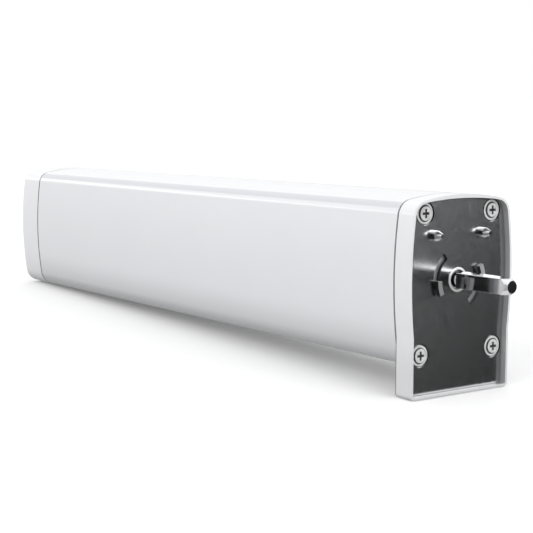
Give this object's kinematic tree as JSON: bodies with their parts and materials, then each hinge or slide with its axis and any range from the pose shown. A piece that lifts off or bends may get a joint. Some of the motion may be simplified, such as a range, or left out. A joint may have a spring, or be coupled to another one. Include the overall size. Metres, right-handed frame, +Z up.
{
  "type": "curtain motor",
  "caption": "Long white curtain motor in a bowed tube, with a square drive shaft, locating pins and bayonet hooks on a dark plate at one end, and a power inlet at the other.",
  "frame": {"origin": "on the drive shaft axis, in the plane of the mounting rim", "axes": "+X out of the mounting end along the drive shaft, +Y across, +Z up towards the crowned top, away from the skirt"},
  "size_m": [0.3634, 0.0536, 0.0773],
  "materials": {
    "tube_white": "smooth white satin coat",
    "cap_white": "smooth white moulded plastic",
    "dark_steel": "dark satin sheet",
    "screw_steel": "satin screw steel",
    "bright_steel": "ground bright steel",
    "gear_steel": "sintered steel",
    "can_steel": "zinc plated sheet",
    "bronze": "sintered bronze",
    "brass": "plated contact brass",
    "copper": "copper",
    "magnet": "dark ferrite",
    "gear_plastic": "natural acetal",
    "black_plastic": "black moulded plastic",
    "rubber": "soft black rubber",
    "board": "green circuit board",
    "lead_plastic": "red wire insulation",
    "coil_tape": "yellow winding tape",
    "capacitor": "blue sleeved can",
    "light_plastic": "clear light pipe"
  },
  "bodies": {
    "root": {"housing_tube": "tube_white", "mounting_cap": "cap_white", "mounting_plate": "dark_steel", "plate_screws": "bright_steel", "locating_pins": "bright_steel", "latch_spring": "bright_steel", "shaft_bush": "bright_steel", "cap_screws": "screw_steel", "gearbox_cover": "gear_steel", "gearbox_screws": "screw_steel", "gearbox_housing": "gear_steel", "motor_screws": "screw_steel", "motor_can": "can_steel", "field_magnets": "magnet", "front_bearing": "bronze", "motor_end_bell": "black_plastic", "rear_bearing": "bronze", "carbon_brushes": "black_plastic", "motor_damper": "rubber", "encoder_board": "board", "motor_leads": "lead_plastic", "control_board": "board", "transformer_core": "magnet", "transformer_coil": "coil_tape", "board_capacitors": "capacitor", "driver_chips": "black_plastic", "radio_module": "can_steel", "antenna": "copper", "board_link": "black_plastic", "socket_board": "board", "socket_board_screws": "screw_steel", "tail_cap": "cap_white", "tail_screws": "screw_steel", "power_inlet": "black_plastic", "inlet_pins": "brass", "control_socket": "black_plastic", "socket_contacts": "brass", "button_switch": "can_steel", "light_pipe": "light_plastic"},
    "latch": {"latch_ring": "dark_steel"},
    "output": {"drive_shaft": "bright_steel", "output_carrier": "gear_steel", "output_planet_pins": "bright_steel"},
    "output_planet_1": {"output_planet_gear_1": "gear_plastic"},
    "output_planet_2": {"output_planet_gear_2": "gear_plastic"},
    "output_planet_3": {"output_planet_gear_3": "gear_plastic"},
    "first_stage": {"first_carrier": "gear_steel", "first_planet_pins": "bright_steel"},
    "first_planet_1": {"first_planet_gear_1": "gear_plastic"},
    "first_planet_2": {"first_planet_gear_2": "gear_plastic"},
    "first_planet_3": {"first_planet_gear_3": "gear_plastic"},
    "rotor": {"motor_pinion": "bronze", "motor_shaft": "bright_steel", "armature_core": "gear_steel", "armature_windings": "copper", "commutator": "copper", "encoder_magnet": "magnet"},
    "button": {"setting_button": "cap_white", "switch_plunger": "black_plastic"}
  },
  "joints": [
    {"name": "motor_spin", "type": "hinge", "parent": "root", "child": "rotor", "pos_m": [-0.07, 0, 0], "axis": [1, 0, 0], "continuous": true},
    {"name": "drive_spin", "type": "hinge", "parent": "root", "child": "output", "pos_m": [0, 0, 0], "axis": [1, 0, 0], "continuous": true},
    {"name": "first_stage_spin", "type": "hinge", "parent": "root", "child": "first_stage", "pos_m": [-0.0351, 0, 0], "axis": [1, 0, 0], "continuous": true},
    {"name": "output_planet_1_spin", "type": "hinge", "parent": "output", "child": "output_planet_1", "pos_m": [-0.0228, 0.0105, 0], "axis": [1, 0, 0], "continuous": true},
    {"name": "output_planet_2_spin", "type": "hinge", "parent": "output", "child": "output_planet_2", "pos_m": [-0.0228, -0.00525, 0.00909], "axis": [1, 0, 0], "continuous": true},
    {"name": "output_planet_3_spin", "type": "hinge", "parent": "output", "child": "output_planet_3", "pos_m": [-0.0228, -0.00525, -0.00909], "axis": [1, 0, 0], "continuous": true},
    {"name": "first_planet_1_spin", "type": "hinge", "parent": "first_stage", "child": "first_planet_1", "pos_m": [-0.0351, 0.0105, 0], "axis": [1, 0, 0], "continuous": true},
    {"name": "first_planet_2_spin", "type": "hinge", "parent": "first_stage", "child": "first_planet_2", "pos_m": [-0.0351, -0.00525, 0.00909], "axis": [1, 0, 0], "continuous": true},
    {"name": "first_planet_3_spin", "type": "hinge", "parent": "first_stage", "child": "first_planet_3", "pos_m": [-0.0351, -0.00525, -0.00909], "axis": [1, 0, 0], "continuous": true},
    {"name": "latch_turn", "type": "hinge", "parent": "root", "child": "latch", "pos_m": [-0.005, 0, 0], "axis": [1, 0, 0], "range_deg": [-52, 0], "stiffness_Nm_per_rad": 0.02, "springref_deg": 20.05, "deforming": ["latch_spring"]},
    {"name": "button_press", "type": "slide", "parent": "root", "child": "button", "axis": [1, 0, 0], "range_m": [0, 0.0006], "stiffness_N_per_m": 1500, "springref_m": -0.0006}
  ],
  "couplings": [
    {"joint": "first_stage_spin", "follows": "motor_spin", "ratio": 0.2},
    {"joint": "drive_spin", "follows": "motor_spin", "ratio": 0.04},
    {"joint": "first_planet_1_spin", "follows": "motor_spin", "ratio": -0.53333},
    {"joint": "output_planet_1_spin", "follows": "motor_spin", "ratio": -0.10667},
    {"joint": "first_planet_2_spin", "follows": "motor_spin", "ratio": -0.53333},
    {"joint": "output_planet_2_spin", "follows": "motor_spin", "ratio": -0.10667},
    {"joint": "first_planet_3_spin", "follows": "motor_spin", "ratio": -0.53333},
    {"joint": "output_planet_3_spin", "follows": "motor_spin", "ratio": -0.10667}
  ]
}
